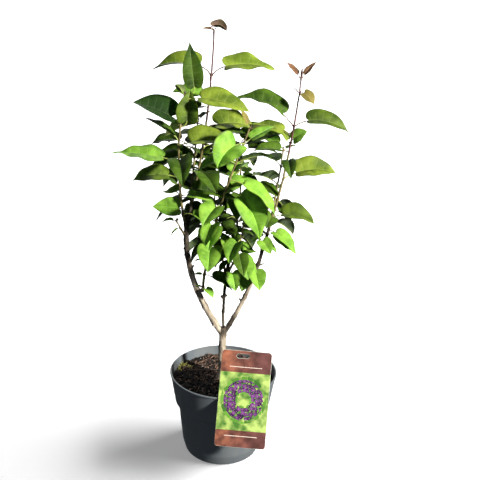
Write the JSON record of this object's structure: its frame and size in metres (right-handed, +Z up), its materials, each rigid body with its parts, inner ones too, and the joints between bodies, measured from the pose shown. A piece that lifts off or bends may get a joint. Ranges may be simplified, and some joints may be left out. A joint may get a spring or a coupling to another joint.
{
  "type": "lilac bush",
  "caption": "Young lilac bush in a round nursery pot: a short trunk forks into slim boughs whose shoots carry opposite heart-shaped leaves; a plain plant tag hooks over the rim.",
  "frame": {"origin": "middle of the pot's flat underside, on the pot's own axis", "axes": "+Z up along the pot's axis, +Y to the back, away from the plant tag, +X to the right as seen from the tag's side"},
  "size_m": [0.3688, 0.2661, 0.7473],
  "materials": {
    "pot_plastic": "satin",
    "potting_soil": "matte",
    "tag_card": "satin",
    "bark": "matte",
    "foliage": "satin"
  },
  "bodies": {
    "root": {"pot": "pot_plastic", "potting_soil": "potting_soil", "plant_tag": "tag_card", "trunk": "bark", "left_bough": "bark", "right_bough": "bark", "centre_bough": "bark", "left_leader_shoot": "foliage", "left_front_shoot": "foliage", "left_back_shoot": "foliage", "left_spur": "foliage", "side_shoot": "foliage", "centre_front_shoot": "foliage", "centre_back_shoot": "foliage", "centre_left_shoot": "foliage", "right_leader_shoot": "foliage", "right_front_shoot": "foliage", "right_back_shoot": "foliage", "right_spur": "foliage"}
  },
  "joints": []
}
